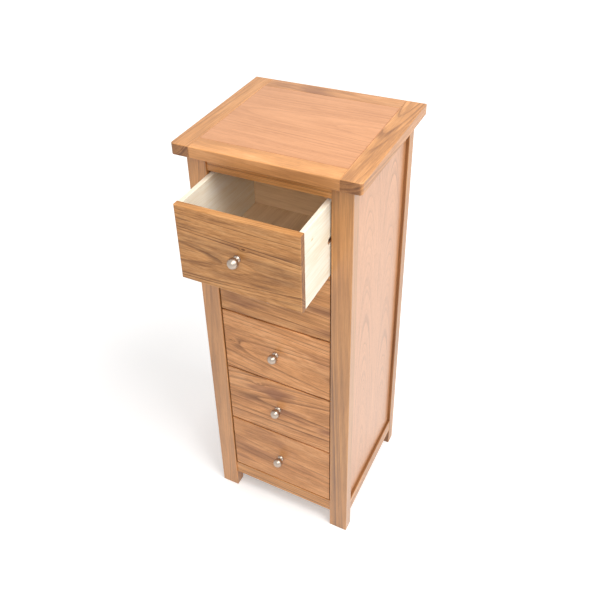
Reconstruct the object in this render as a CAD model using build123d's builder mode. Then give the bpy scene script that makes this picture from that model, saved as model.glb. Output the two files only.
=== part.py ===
"""A tall, narrow chest of five drawers in oak, on four posts that run down to the floor as legs.

Millimetres. +X is the chest's right as seen from the front, +Y points to its back, +Z is up.
The origin is on the floor, in the middle of the rectangle that the four posts stand in.
The top drawer is pulled out by shown_opening, and the other four are closed.
"""

import os

from build123d import *

os.makedirs("parts", exist_ok=True)

# Carcass frame
carcass_width = 400.0
carcass_depth = 378.0
post_width = 50.0
post_depth = 32.0
post_height = 1127.0
post_edge_radius = 2.0
foot_chamfer = 1.5
leg_height = 57.0
bottom_rail_height = 42.0
top_rail_height = 39.0
rail_edge_radius = 2.0
front_rail_thickness = 20.0
front_rail_inset = 4.0
side_rail_thickness = 26.0
side_rail_inset = 1.0
back_rail_thickness = 26.0
back_rail_inset = 2.0
tenon_thickness = 8.0
tenon_length = 14.0
tenon_shoulder = 6.0
mortise_play = 0.5

# Panels held in grooves of the frame
side_panel_thickness = 6.0
side_panel_inset = 8.5
back_panel_thickness = 5.0
back_panel_inset = 10.0
panel_groove_depth = 8.0
panel_play = 0.2

# Top
top_thickness = 28.0
top_side_overhang = 25.0
top_front_overhang = 22.0
top_back_overhang = 0.0
end_board_width = 48.0
top_strip_width = 46.0
top_panel_thickness = 18.0
top_tongue_thickness = 6.0
top_tongue_length = 6.0
top_tongue_stop = 14.0
top_upper_radius = 2.5
top_lower_radius = 1.5
top_corner_radius = 9.0
top_joint_chamfer = 0.8

# Drawers
drawer_count = 5
drawer_gap = 5.0
drawer_side_gap = 2.5
front_thickness = 16.0
front_inset = 3.0
front_edge_radius = 2.0
drawer_back_room = 30.0
side_thickness = 12.0
side_relief = 1.0
side_edge_radius = 1.5
side_tongue_thickness = 5.0
side_tongue_length = 6.0
side_tongue_stop = 10.0
drawer_back_thickness = 12.0
drawer_back_rebate = 4.0
bottom_thickness = 5.0
bottom_height = 11.4
bottom_groove_depth = 5.0
bottom_play = 0.2
shown_opening = 142.0

# Wooden side runners and the uprights that carry their front ends
runner_height = 15.4
runner_engagement = 5.0
runner_play = 0.3
runner_end_play = 2.0
runner_floor_play = 0.7
groove_start = 128.0
runner_back_margin = 2.0
upright_width = 40.0

# Screws
runner_screw_radius = 1.75
runner_screw_head_radius = 3.5
runner_screw_head_height = 2.5
runner_screw_length = 25.0
top_screw_radius = 2.0
top_screw_head_radius = 4.0
top_screw_head_height = 3.0
top_screw_length = 35.0
top_screw_bite = 15.0
top_screw_spread = 180.0
knob_screw_radius = 2.0
knob_screw_head_radius = 4.0
knob_screw_head_height = 2.4
knob_screw_bite = 9.0
screw_play = 0.1
counterbore_play = 0.6

# Knobs
knob_foot_radius = 9.0
knob_neck_radius = 5.5
knob_neck_start = 6.5
knob_neck_end = 7.5
knob_head_radius = 12.6
knob_head_middle = 18.0
knob_bore_depth = 12.0

# Places worked out from the sizes above
half_width = carcass_width / 2
half_depth = carcass_depth / 2
opening_half_width = half_width - post_width
post_inner_y = half_depth - post_depth
low_rail = (leg_height, leg_height + bottom_rail_height)
high_rail = (post_height - top_rail_height, post_height)
side_rail_outer = half_width - side_rail_inset
side_rail_inner = side_rail_outer - side_rail_thickness
side_panel_outer = half_width - side_panel_inset
side_panel_x = (side_panel_outer - side_panel_thickness, side_panel_outer)
front_rail_y = (-half_depth + front_rail_inset, -half_depth + front_rail_inset + front_rail_thickness)
back_rail_y = (half_depth - back_rail_inset - back_rail_thickness, half_depth - back_rail_inset)
back_panel_y = (half_depth - back_panel_inset - back_panel_thickness, half_depth - back_panel_inset)
side_tenon_mid = sum(side_panel_x) / 2
side_tenon_x = (side_tenon_mid - tenon_thickness / 2, side_tenon_mid + tenon_thickness / 2)
front_tenon_mid = sum(front_rail_y) / 2
front_tenon_y = (front_tenon_mid - tenon_thickness / 2, front_tenon_mid + tenon_thickness / 2)
back_tenon_mid = sum(back_panel_y) / 2
back_tenon_y = (back_tenon_mid - tenon_thickness / 2, back_tenon_mid + tenon_thickness / 2)
panel_low = low_rail[1] - panel_groove_depth
panel_high = high_rail[0] + panel_groove_depth
top_half_width = half_width + top_side_overhang
top_front = -half_depth - top_front_overhang
top_back = half_depth + top_back_overhang
top_z = (post_height, post_height + top_thickness)
top_panel_x = top_half_width - end_board_width
top_panel_y = (top_front + top_strip_width, top_back - top_strip_width)
top_panel_z = (top_z[1] - top_panel_thickness, top_z[1])
top_tongue_mid = top_z[1] - top_panel_thickness / 2
top_tongue_z = (top_tongue_mid - top_tongue_thickness / 2, top_tongue_mid + top_tongue_thickness / 2)
top_screw_x = (-top_screw_spread / 2, top_screw_spread / 2)
front_screw_y = sum(front_rail_y) / 2
back_screw_y = (back_rail_y[0] + back_panel_y[0]) / 2
top_screw_head_z = post_height + top_screw_bite - top_screw_length
drawer_zone = (low_rail[1], high_rail[0])
front_height = (drawer_zone[1] - drawer_zone[0] - (drawer_count + 1) * drawer_gap) / drawer_count
drawer_half_width = opening_half_width - drawer_side_gap
side_inner = drawer_half_width - side_thickness
closed_front_y = -half_depth + front_inset
box_depth = back_panel_y[0] - drawer_back_room - closed_front_y
runner_front = closed_front_y + groove_start + runner_end_play
runner_back = back_panel_y[0] - runner_back_margin
runner_inner = drawer_half_width - runner_engagement
groove_floor = runner_inner - runner_floor_play
groove_height = runner_height + 2 * runner_play
upright_y = (runner_front, runner_front + upright_width)
runner_screw_y = (runner_front + upright_width / 2, (post_inner_y + runner_back) / 2)


def drawer_base(number):
    """The height of a drawer front's lower edge. Drawer 1 is the top one."""
    return drawer_zone[0] + drawer_gap + (drawer_count - number) * (front_height + drawer_gap)


def runner_level(number):
    """The height of the middle of a drawer's runners."""
    return drawer_base(number) + front_height / 2


def block(x, y, z, mode=Mode.ADD):
    """Adds or cuts a square block between two limits on each axis, in the part being built."""
    with Locations((sum(x) / 2, sum(y) / 2, sum(z) / 2)):
        Box(abs(x[1] - x[0]), abs(y[1] - y[0]), abs(z[1] - z[0]), mode=mode)


def sided(side, x):
    """Limits along X, given for the right half, on the side asked for: +1 right, -1 left."""
    return (side * x[0], side * x[1])


def rod(start, direction, radius, length, mode=Mode.ADD):
    """Adds or cuts a round rod from a point along a direction, in the part being built."""
    with Locations(Plane(origin=start, z_dir=direction)):
        Cylinder(radius, length, align=(Align.CENTER, Align.CENTER, Align.MIN), mode=mode)


def grown(limits, play):
    """Limits along one axis, moved apart by a clearance at both ends."""
    return (limits[0] - play, limits[1] + play)


def save(piece, node):
    """Labels a finished piece and writes it."""
    piece.part.label = node
    export_step(piece.part, f"parts/{node}.step")


def tenon_height(rail):
    """The height limits of the tenons of a rail."""
    return (rail[0] + tenon_shoulder, rail[1] - tenon_shoulder)


def post(side, end):
    """A corner post. side is -1 left, +1 right, and end is -1 front, +1 back."""
    cross_tenon_y = front_tenon_y if end < 0 else back_tenon_y
    with BuildPart() as piece:
        post_x = sided(side, (opening_half_width, half_width))
        block(post_x, (end * post_inner_y, end * half_depth), (0, post_height))
        fillet(piece.edges().filter_by(Axis.Z), radius=post_edge_radius)
        chamfer(piece.faces().sort_by(Axis.Z)[0].edges(), length=foot_chamfer)
        groove_x = sided(side, grown(side_panel_x, panel_play))
        groove_y = (end * post_inner_y, end * (post_inner_y + panel_groove_depth))
        groove_z = (low_rail[0], post_height)
        block(groove_x, groove_y, groove_z, Mode.SUBTRACT)
        mortise_end = tenon_length + mortise_play
        for rail in (low_rail, high_rail):
            side_mortise_y = (end * post_inner_y, end * (post_inner_y + mortise_end))
            block(sided(side, side_tenon_x), side_mortise_y, tenon_height(rail), Mode.SUBTRACT)
            cross_mortise_x = sided(side, (opening_half_width, opening_half_width + mortise_end))
            block(cross_mortise_x, cross_tenon_y, tenon_height(rail), Mode.SUBTRACT)
        if end > 0:
            back_groove_x = sided(side, (opening_half_width, opening_half_width + panel_groove_depth))
            block(back_groove_x, grown(back_panel_y, panel_play), groove_z, Mode.SUBTRACT)
            for number in range(1, drawer_count + 1):
                start = (side * opening_half_width, runner_screw_y[1], runner_level(number))
                hole_radius = runner_screw_radius + screw_play
                rod(start, (side, 0, 0), hole_radius, runner_screw_length, Mode.SUBTRACT)
    return piece


for side, side_name in ((-1, "left"), (1, "right")):
    for end, end_name in ((-1, "front"), (1, "back")):
        save(post(side, end), f"{side_name}_{end_name}_post")


def side_rail(side, rail, panel_edge):
    """A rail between the front and back posts, grooved for the side panel up to panel_edge."""
    face_edge = rail[1] if rail is low_rail else rail[0]
    with BuildPart() as piece:
        block(sided(side, (side_rail_inner, side_rail_outer)), (-post_inner_y, post_inner_y), rail)
        outer_edges = piece.faces().sort_by(Axis.X)[-1 if side > 0 else 0].edges().filter_by(Axis.Y)
        fillet(outer_edges, radius=rail_edge_radius)
        tenon_end = post_inner_y + tenon_length
        block(sided(side, side_tenon_x), (-tenon_end, tenon_end), tenon_height(rail))
        groove_x = sided(side, grown(side_panel_x, panel_play))
        block(groove_x, (-post_inner_y, post_inner_y), (panel_edge, face_edge), Mode.SUBTRACT)
    return piece


for side, side_name in ((-1, "left"), (1, "right")):
    save(side_rail(side, low_rail, panel_low), f"{side_name}_bottom_rail")
    save(side_rail(side, high_rail, panel_high), f"{side_name}_top_rail")

for side, side_name in ((-1, "left"), (1, "right")):
    with BuildPart() as side_panel:
        panel_end = post_inner_y + panel_groove_depth - panel_play
        panel_z = (panel_low + panel_play, panel_high - panel_play)
        block(sided(side, side_panel_x), (-panel_end, panel_end), panel_z)
        for rail in (low_rail, high_rail):
            for end in (-1, 1):
                notch_y = (end * post_inner_y, end * (panel_end + panel_play))
                block(sided(side, grown(side_panel_x, panel_play)), notch_y, rail, Mode.SUBTRACT)
    save(side_panel, f"{side_name}_side_panel")


def counterbored_hole(x, y):
    """Cuts the way of a screw up through a top rail into the top, with its head sunk in the rail."""
    rod((x, y, post_height), (0, 0, -1), top_screw_radius + screw_play, top_rail_height, Mode.SUBTRACT)
    sink_radius = top_screw_head_radius + counterbore_play
    rod((x, y, top_screw_head_z), (0, 0, -1), sink_radius, top_rail_height, Mode.SUBTRACT)


# The two front rails, between the front posts
for rail, rail_name in ((low_rail, "bottom"), (high_rail, "top")):
    with BuildPart() as front_rail:
        block((-opening_half_width, opening_half_width), front_rail_y, rail)
        fillet(front_rail.faces().sort_by(Axis.Y)[0].edges().filter_by(Axis.X), radius=rail_edge_radius)
        tenon_end = opening_half_width + tenon_length
        block((-tenon_end, tenon_end), front_tenon_y, tenon_height(rail))
        if rail is high_rail:
            for x in top_screw_x:
                counterbored_hole(x, front_screw_y)
    save(front_rail, f"front_{rail_name}_rail")

# The two back rails, grooved for the back panel
for rail, rail_name, panel_edge in ((low_rail, "bottom", panel_low), (high_rail, "top", panel_high)):
    face_edge = rail[1] if rail is low_rail else rail[0]
    with BuildPart() as back_rail:
        block((-opening_half_width, opening_half_width), back_rail_y, rail)
        tenon_end = opening_half_width + tenon_length
        block((-tenon_end, tenon_end), back_tenon_y, tenon_height(rail))
        groove_y = grown(back_panel_y, panel_play)
        block((-opening_half_width, opening_half_width), groove_y, (panel_edge, face_edge), Mode.SUBTRACT)
        if rail is high_rail:
            for x in top_screw_x:
                counterbored_hole(x, back_screw_y)
    save(back_rail, f"back_{rail_name}_rail")

with BuildPart() as back_panel:
    panel_end = opening_half_width + panel_groove_depth - panel_play
    block((-panel_end, panel_end), back_panel_y, (panel_low + panel_play, panel_high - panel_play))
    for rail in (low_rail, high_rail):
        for side in (-1, 1):
            notch_x = sided(side, (opening_half_width, panel_end + panel_play))
            block(notch_x, grown(back_panel_y, panel_play), rail, Mode.SUBTRACT)
save(back_panel, "back_panel")

# The top: two end boards with a strip at the front and back and a panel between them
for side, side_name in ((-1, "left"), (1, "right")):
    with BuildPart() as end_board:
        block(sided(side, (top_panel_x, top_half_width)), (top_front, top_back), top_z)
        outer_corners = end_board.edges().filter_by(Axis.Z).group_by(Axis.X)[-1 if side > 0 else 0]
        fillet(outer_corners.sort_by(Axis.Y)[0], radius=top_corner_radius)
        for face_place, radius in ((-1, top_upper_radius), (0, top_lower_radius)):
            inner_edges = end_board.faces().sort_by(Axis.X)[0 if side > 0 else -1].edges()
            face_edges = end_board.faces().sort_by(Axis.Z)[face_place].edges()
            fillet([edge for edge in face_edges if edge not in inner_edges], radius=radius)
        joint_face = end_board.faces().sort_by(Axis.X)[0 if side > 0 else -1]
        chamfer(joint_face.edges(), length=top_joint_chamfer)
        groove_x = sided(side, (top_panel_x, top_panel_x + top_tongue_length + panel_play))
        groove_y = (top_front + top_tongue_stop, top_back - top_tongue_stop)
        block(groove_x, groove_y, top_tongue_z, Mode.SUBTRACT)
    save(end_board, f"top_{side_name}_end")

for end, end_name, inner_y, outer_y, screw_y in (
    (-1, "front", top_panel_y[0], top_front, front_screw_y),
    (1, "back", top_panel_y[1], top_back, back_screw_y),
):
    with BuildPart() as strip:
        block((-top_panel_x, top_panel_x), (inner_y, outer_y), top_z)
        for edge_place, radius in ((-1, top_upper_radius), (0, top_lower_radius)):
            long_edges = strip.faces().sort_by(Axis.Y)[-1 if end > 0 else 0].edges().filter_by(Axis.X)
            fillet(long_edges.sort_by(Axis.Z)[edge_place], radius=radius)
        panel_edges = strip.faces().sort_by(Axis.Y)[0 if end > 0 else -1].edges().filter_by(Axis.X)
        chamfer(panel_edges.sort_by(Axis.Z)[-1], length=top_joint_chamfer)
        for face_place in (0, -1):
            chamfer(strip.faces().sort_by(Axis.X)[face_place].edges(), length=top_joint_chamfer)
        groove_y = (inner_y, inner_y + end * (top_tongue_length + panel_play))
        block((-top_panel_x, top_panel_x), groove_y, top_tongue_z, Mode.SUBTRACT)
        tongue_x = top_panel_x + top_tongue_length
        tongue_y = (inner_y + end * (top_tongue_length + panel_play), outer_y - end * top_tongue_stop)
        block((-tongue_x, tongue_x), tongue_y, top_tongue_z)
        for x in top_screw_x:
            hole_radius = top_screw_radius + screw_play
            rod((x, screw_y, post_height), (0, 0, 1), hole_radius, top_screw_bite, Mode.SUBTRACT)
    save(strip, f"top_{end_name}_strip")

with BuildPart() as top_panel:
    block((-top_panel_x, top_panel_x), top_panel_y, top_panel_z)
    chamfer(top_panel.faces().sort_by(Axis.Z)[-1].edges(), length=top_joint_chamfer)
    tongue_x = top_panel_x + top_tongue_length
    tongue_y = grown(top_panel_y, top_tongue_length)
    block((-tongue_x, tongue_x), top_panel_y, top_tongue_z)
    block((-top_panel_x, top_panel_x), tongue_y, top_tongue_z)
save(top_panel, "top_panel")

with BuildPart() as top_screws:
    for x in top_screw_x:
        for y in (front_screw_y, back_screw_y):
            rod((x, y, top_screw_head_z), (0, 0, 1), top_screw_radius, top_screw_length)
            rod((x, y, top_screw_head_z), (0, 0, -1), top_screw_head_radius, top_screw_head_height)
save(top_screws, "top_screws")

# Uprights between the side rails, screwed to by the front ends of the runners
for side, side_name in ((-1, "left"), (1, "right")):
    with BuildPart() as upright:
        block(sided(side, (opening_half_width, side_rail_inner)), upright_y, (low_rail[0], high_rail[1]))
        for number in range(1, drawer_count + 1):
            start = (side * opening_half_width, runner_screw_y[0], runner_level(number))
            rod(start, (side, 0, 0), runner_screw_radius + screw_play, post_width, Mode.SUBTRACT)
    save(upright, f"{side_name}_upright")


def runner_screw_start(side, y, number):
    """The middle of a runner screw's head, on the face of the runner."""
    return (side * runner_inner, y, runner_level(number))


with BuildPart() as runners:
    for side in (-1, 1):
        for number in range(1, drawer_count + 1):
            level = runner_level(number)
            nose_y = runner_front + runner_height / 2
            thickness = opening_half_width - runner_inner
            block(
                sided(side, (runner_inner, opening_half_width)),
                (nose_y, runner_back),
                (level - runner_height / 2, level + runner_height / 2),
            )
            rod((side * runner_inner, nose_y, level), (side, 0, 0), runner_height / 2, thickness)
            for y in runner_screw_y:
                start = runner_screw_start(side, y, number)
                with Locations(Plane(origin=start, z_dir=(side, 0, 0))):
                    Cone(
                        runner_screw_head_radius + screw_play,
                        runner_screw_radius + screw_play,
                        runner_screw_head_height,
                        align=(Align.CENTER, Align.CENTER, Align.MIN),
                        mode=Mode.SUBTRACT,
                    )
                rod(start, (side, 0, 0), runner_screw_radius + screw_play, thickness, Mode.SUBTRACT)
save(runners, "runners")

with BuildPart() as runner_screws:
    for side in (-1, 1):
        for number in range(1, drawer_count + 1):
            for y in runner_screw_y:
                start = runner_screw_start(side, y, number)
                with Locations(Plane(origin=start, z_dir=(side, 0, 0))):
                    Cone(
                        runner_screw_head_radius,
                        runner_screw_radius,
                        runner_screw_head_height,
                        align=(Align.CENTER, Align.CENTER, Align.MIN),
                    )
                rod(start, (side, 0, 0), runner_screw_radius, runner_screw_length)
save(runner_screws, "runner_screws")


def bottom_groove(base):
    """The height limits of the groove that holds a drawer's bottom."""
    floor = base + bottom_height
    return grown((floor, floor + bottom_thickness), bottom_play)


def drawer_front(face_y, base):
    """A drawer front with eased edges, grooved behind for the sides and the bottom."""
    back_y = face_y + front_thickness
    with BuildPart() as piece:
        block((-drawer_half_width, drawer_half_width), (face_y, back_y), (base, base + front_height))
        fillet(piece.faces().sort_by(Axis.Y)[0].edges(), radius=front_edge_radius)
        tongue_z = (base + side_tongue_stop, base + front_height - side_tongue_stop)
        tongue_y = (back_y - side_tongue_length - bottom_play, back_y)
        for side in (-1, 1):
            tongue_x = sided(side, (side_inner, side_inner + side_tongue_thickness))
            block(tongue_x, tongue_y, tongue_z, Mode.SUBTRACT)
        groove_y = (back_y - bottom_groove_depth - bottom_play, back_y)
        groove_z = bottom_groove(base)
        block((-side_inner, side_inner), groove_y, groove_z, Mode.SUBTRACT)
        middle = (0, face_y, base + front_height / 2)
        rod(middle, (0, 1, 0), knob_screw_radius + screw_play, front_thickness, Mode.SUBTRACT)
    return piece


def drawer_side(side, face_y, base):
    """A drawer side, with the stopped groove outside that rides on the runner."""
    front_y = face_y + front_thickness
    end_y = face_y + box_depth
    low = base + side_relief
    high = base + front_height - side_relief
    with BuildPart() as piece:
        block(sided(side, (side_inner, drawer_half_width)), (front_y, end_y), (low, high))
        fillet(piece.faces().sort_by(Axis.Z)[-1].edges().filter_by(Axis.Y), radius=side_edge_radius)
        tongue_x = sided(side, (side_inner, side_inner + side_tongue_thickness))
        tongue_z = (base + side_tongue_stop, base + front_height - side_tongue_stop)
        block(tongue_x, (front_y - side_tongue_length, front_y), tongue_z)
        groove_x = sided(side, (side_inner, side_inner + bottom_groove_depth + bottom_play))
        groove_z = bottom_groove(base)
        block(groove_x, (front_y - side_tongue_length, end_y), groove_z, Mode.SUBTRACT)
        rebate_x = sided(side, (side_inner, side_inner + drawer_back_rebate))
        block(rebate_x, (end_y - drawer_back_thickness, end_y), (low, high), Mode.SUBTRACT)
        level = base + front_height / 2
        nose_y = face_y + groove_start + groove_height / 2
        track_x = sided(side, (groove_floor, drawer_half_width))
        track_z = (level - groove_height / 2, level + groove_height / 2)
        block(track_x, (nose_y, end_y), track_z, Mode.SUBTRACT)
        track_depth = drawer_half_width - groove_floor
        nose = (side * groove_floor, nose_y, level)
        rod(nose, (side, 0, 0), groove_height / 2, track_depth, Mode.SUBTRACT)
    return piece


def drawer_back(face_y, base):
    """A drawer back, let into rebates of the sides."""
    end_y = face_y + box_depth
    inner_y = end_y - drawer_back_thickness
    half_length = side_inner + drawer_back_rebate
    high = base + front_height - side_relief
    with BuildPart() as piece:
        block((-half_length, half_length), (inner_y, end_y), (base + side_relief, high))
        fillet(piece.faces().sort_by(Axis.Z)[-1].edges().filter_by(Axis.X), radius=side_edge_radius)
        groove_z = bottom_groove(base)
        groove_y = (inner_y, inner_y + bottom_groove_depth + bottom_play)
        block((-half_length, half_length), groove_y, groove_z, Mode.SUBTRACT)
    return piece


def drawer_bottom(face_y, base):
    """A thin drawer bottom, held in grooves all round."""
    half_length = side_inner + bottom_groove_depth
    front_y = face_y + front_thickness - bottom_groove_depth
    back_y = face_y + box_depth - drawer_back_thickness + bottom_groove_depth
    floor_z = (base + bottom_height, base + bottom_height + bottom_thickness)
    with BuildPart() as piece:
        block((-side_inner, side_inner), (front_y, back_y), floor_z)
        block((-half_length, half_length), (face_y + front_thickness, back_y), floor_z)
    return piece


def drawer_knob(face_y, base):
    """A turned ball knob on a domed foot, its axis along -Y."""
    middle = (0, face_y, base + front_height / 2)
    with BuildPart() as piece:
        with BuildSketch(Plane(origin=middle, x_dir=(1, 0, 0), z_dir=(0, 0, -1))):
            with BuildLine():
                foot = (knob_foot_radius, 0)
                neck_start = (knob_neck_radius, knob_neck_start)
                neck_end = (knob_neck_radius, knob_neck_end)
                widest = (knob_head_radius, knob_head_middle)
                crown = (0, knob_head_middle + knob_head_radius)
                Line((0, 0), foot)
                TangentArc(foot, neck_start, tangent=(0, 1))
                Line(neck_start, neck_end)
                TangentArc(widest, neck_end, tangent=(0, -1))
                TangentArc(widest, crown, tangent=(0, 1))
                Line(crown, (0, 0))
            make_face()
        revolve(axis=Axis(middle, (0, -1, 0)))
        rod(middle, (0, -1, 0), knob_screw_radius + screw_play, knob_bore_depth, Mode.SUBTRACT)
    return piece


def drawer_knob_screw(face_y, base):
    """The screw that holds a knob, put in from inside the drawer."""
    seat = (0, face_y + front_thickness, base + front_height / 2)
    with BuildPart() as piece:
        rod(seat, (0, -1, 0), knob_screw_radius, front_thickness + knob_screw_bite)
        rod(seat, (0, 1, 0), knob_screw_head_radius, knob_screw_head_height)
        head_edge = piece.edges().filter_by(GeomType.CIRCLE).sort_by(Axis.Y)[-1]
        fillet(head_edge, radius=knob_screw_head_height / 2)
    return piece


for number in range(1, drawer_count + 1):
    opened = shown_opening if number == 1 else 0.0
    face_y = closed_front_y - opened
    base = drawer_base(number)
    save(drawer_front(face_y, base), f"drawer_{number}_front")
    save(drawer_side(-1, face_y, base), f"drawer_{number}_left_side")
    save(drawer_side(1, face_y, base), f"drawer_{number}_right_side")
    save(drawer_back(face_y, base), f"drawer_{number}_back")
    save(drawer_bottom(face_y, base), f"drawer_{number}_bottom")
    save(drawer_knob(face_y, base), f"drawer_{number}_knob")
    save(drawer_knob_screw(face_y, base), f"drawer_{number}_knob_screw")
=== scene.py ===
"""The looks of a tall, narrow chest of five drawers in lacquered oak, around its packed solids."""

import math

import bmesh
import bpy
from bpy.props import FloatProperty, FloatVectorProperty, PointerProperty
from bpy.types import Operator, Panel, PropertyGroup
from mathutils import Euler, Matrix, Vector


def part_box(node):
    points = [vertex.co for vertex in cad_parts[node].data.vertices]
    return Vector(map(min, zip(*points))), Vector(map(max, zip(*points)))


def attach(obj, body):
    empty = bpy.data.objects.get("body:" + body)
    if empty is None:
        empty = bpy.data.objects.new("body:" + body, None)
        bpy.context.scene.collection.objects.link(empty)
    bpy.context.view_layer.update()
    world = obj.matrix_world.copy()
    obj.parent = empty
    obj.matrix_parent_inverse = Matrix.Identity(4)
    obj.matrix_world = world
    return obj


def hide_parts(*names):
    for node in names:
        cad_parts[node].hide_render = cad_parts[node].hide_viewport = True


bl_info = {
    "name": "Tall Chest of Drawers",
    "version": (1, 0, 0),
    "blender": (4, 5, 0),
    "location": "View3D > Sidebar > Chest",
    "description": "Finishes the boards, knobs and screws of a tall chest of drawers and lights it",
    "category": "Object",
}

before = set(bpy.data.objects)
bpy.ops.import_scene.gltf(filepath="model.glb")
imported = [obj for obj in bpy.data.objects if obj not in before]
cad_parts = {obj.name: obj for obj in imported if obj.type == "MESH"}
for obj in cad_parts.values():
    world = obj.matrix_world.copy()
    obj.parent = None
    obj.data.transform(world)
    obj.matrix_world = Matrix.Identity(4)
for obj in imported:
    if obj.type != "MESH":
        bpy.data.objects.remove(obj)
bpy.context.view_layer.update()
# Drawer 1 is the top one
DRAWERS = range(1, 6)
MM = 0.001


def paint(code):
    """A linear colour from an sRGB hex value."""
    channels = [int(code[i:i + 2], 16) / 255 for i in (1, 3, 5)]
    return tuple(c / 12.92 if c <= 0.04045 else ((c + 0.055) / 1.055) ** 2.4 for c in channels)


def add(tree, kind, inputs=None, stops=None, **settings):
    """Adds a node with its settings, its input values or links, and the stops of its ramp.

    A node that is given as an input is linked by its first output.
    """
    node = tree.nodes.new(kind)
    for name, value in settings.items():
        setattr(node, name, value)
    for key, value in (inputs or {}).items():
        socket = node.inputs[key]
        if isinstance(value, bpy.types.Node):
            value = value.outputs[0]
        if isinstance(value, bpy.types.NodeSocket):
            tree.links.new(value, socket)
        elif socket.type == "RGBA":
            socket.default_value = (*value[:3], 1.0)
        else:
            socket.default_value = value
    if stops:
        elements = node.color_ramp.elements
        while len(elements) < len(stops):
            elements.new(1.0)
        for element, (place, shade) in zip(elements, stops):
            element.position = place
            element.color = (*shade, 1.0) if isinstance(shade, tuple) else (shade, shade, shade, 1.0)
    return node


def swatch(name, description, code):
    """A colour that a user can change."""
    return FloatVectorProperty(
        name=name, description=description, subtype="COLOR", size=3, default=paint(code))


def ring_spacing(millimetres):
    """The distance between two growth rings, which a user can change."""
    return FloatProperty(
        name="Ring width", description="Distance between two growth rings", subtype="DISTANCE", unit="LENGTH",
        default=millimetres * MM)


class ChestOakSettings(PropertyGroup):
    """Solid oak under satin lacquer: posts, rails, drawer fronts and the frame of the top."""

    # Sawn and sanded: dark lines of spring wood full of short pores, honey tones between them, a soft sheen
    light: swatch("Light wood", "Pale summer wood", "#ECB077")
    mid: swatch("Mid wood", "The wood's main tone", "#D9995E")
    dark: swatch("Dark grain", "Spring wood and dark streaks", "#673A18")
    shade: swatch("Heartwood cloud", "Purple-brown clouds of heartwood", "#94603F")
    ring_width: ring_spacing(20.0)


class ChestVeneerSettings(PropertyGroup):
    """Crown-cut oak veneer under satin lacquer: the side panels and the middle of the top."""

    # Sliced through the crown of the log: pale pinkish sheets with stacked arches, evenly shiny
    light: swatch("Light wood", "Pale summer wood", "#E3A87C")
    mid: swatch("Mid wood", "The veneer's main tone", "#DB9C6D")
    dark: swatch("Dark grain", "Spring wood with open pores", "#A0663C")
    shade: swatch("Heartwood cloud", "Slightly greyer clouds of wood", "#C88E64")
    ring_width: ring_spacing(13.0)


class ChestPineSettings(PropertyGroup):
    """Planed pine with no finish: the drawer sides, the runners and the uprights."""

    # Planed and left bare: almost white, with faint thin lines and no shine
    light: swatch("Light wood", "Pale spring wood", "#F3F1E6")
    mid: swatch("Mid wood", "The wood's main tone", "#EFE9D8")
    dark: swatch("Dark grain", "Thin lines of summer wood", "#D3BB8E")
    shade: swatch("Heartwood cloud", "Slightly browner clouds of wood", "#E6D8B8")
    # The groove colour is painted shade, put where only shade falls in the runners' grooves
    groove_shade: swatch("Groove", "Wax and dust in the grooves of the runners", "#C29470")
    ring_width: ring_spacing(9.0)


class ChestPlySettings(PropertyGroup):
    """Browner bare wood: the plywood of the drawer bottoms and the back panel, and the drawer backs."""

    # Peeled off the log in one long sheet: broad, wandering, quiet grain with a dry surface
    light: swatch("Light wood", "Pale wood", "#F2D6B0")
    mid: swatch("Mid wood", "The sheet's main tone", "#EACAA3")
    dark: swatch("Dark grain", "Broad grain lines", "#BC966C")
    shade: swatch("Heartwood cloud", "Browner clouds of wood", "#DAB48A")
    ring_width: ring_spacing(24.0)


class ChestMetalSettings(PropertyGroup):
    """Satin nickel knobs and zinc-plated steel screws."""

    # The nickel's pinkish warm grey is partly painted reflection of the wood
    nickel: swatch("Nickel", "Satin nickel plate of the knobs", "#B3A598")
    steel: swatch("Steel", "Zinc-plated steel of the screws", "#C4C6C8")
    recess_length: FloatProperty(
        name="Recess length", description="Length of a screw's cross, as a share of its head's radius",
        default=1.1)
    recess_width: FloatProperty(
        name="Recess width", description="Width of a screw's cross, as a share of its head's radius",
        default=0.26)


class ChestStageSettings(PropertyGroup):
    """The floor, the lights and the camera."""

    floor: swatch("Floor", "Colour of the studio floor", "#F4F3F2")
    key_power: FloatProperty(
        name="Key light", description="Power of the large light at the right", unit="POWER", default=92.0)
    fill_power: FloatProperty(
        name="Fill light", description="Power of the soft light beside the camera", unit="POWER",
        default=11.0)
    ambient: FloatProperty(name="Ambient", description="Strength of the light from all round", default=0.5)


FIGURE_INPUTS = (
    ("Vector", "NodeSocketVector", None),
    ("Slope", "NodeSocketVector", (0.0, 0.0, 0.0)),
    ("Half Size", "NodeSocketVector", (1.0, 1.0, 1.0)),
    ("Edges", "NodeSocketVector", None),
    ("Swell", "NodeSocketFloat", 0.0),
    ("Ring Width", "NodeSocketFloat", 15.0 * MM),
    ("Waviness", "NodeSocketFloat", 6.0 * MM),
    ("Fibre Width", "NodeSocketFloat", 3.0 * MM),
    ("Streak Width", "NodeSocketFloat", 22.0 * MM),
    ("Seed", "NodeSocketFloat", 0.0),
)
FIGURE_OUTPUTS = ("Ring", "Fibre", "Pore", "Streak", "Heart", "Cloud", "Edge")

# Sizes of the patterns along and across the grain, in mm
WANDER_SIZE = (455, 91)
FADE_SIZE = (250, 16.7)
HEART_SIZE = (143, 38.5)
CLOUD_SIZE = (200, 41.7)
# Pores and fibres are drawn about three times as coarse as real ones, so that they show
PORE_SIZE = (16, 1.1)
FIBRE_LENGTH = 200
STREAK_LENGTH = 450
# The depths under an edge, in mm, between which its lightening, partly worn lacquer and partly a painted
# highlight, fades out
EDGE_WEAR = (0.5, 3.0)
# How dark a ring is through its year: sharp in spring, and fading to nothing by autumn
SPRING_WOOD = ((0.0, 1.0), (0.16, 0.85), (0.38, 0.35), (0.68, 0.08), (0.9, 0.0), (1.0, 1.0))


def grain_scale(size):
    """A pattern's size along and across the grain, in metres for a board with its grain along X."""
    along, across = size
    return Vector((along, across, across)) * MM


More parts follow.
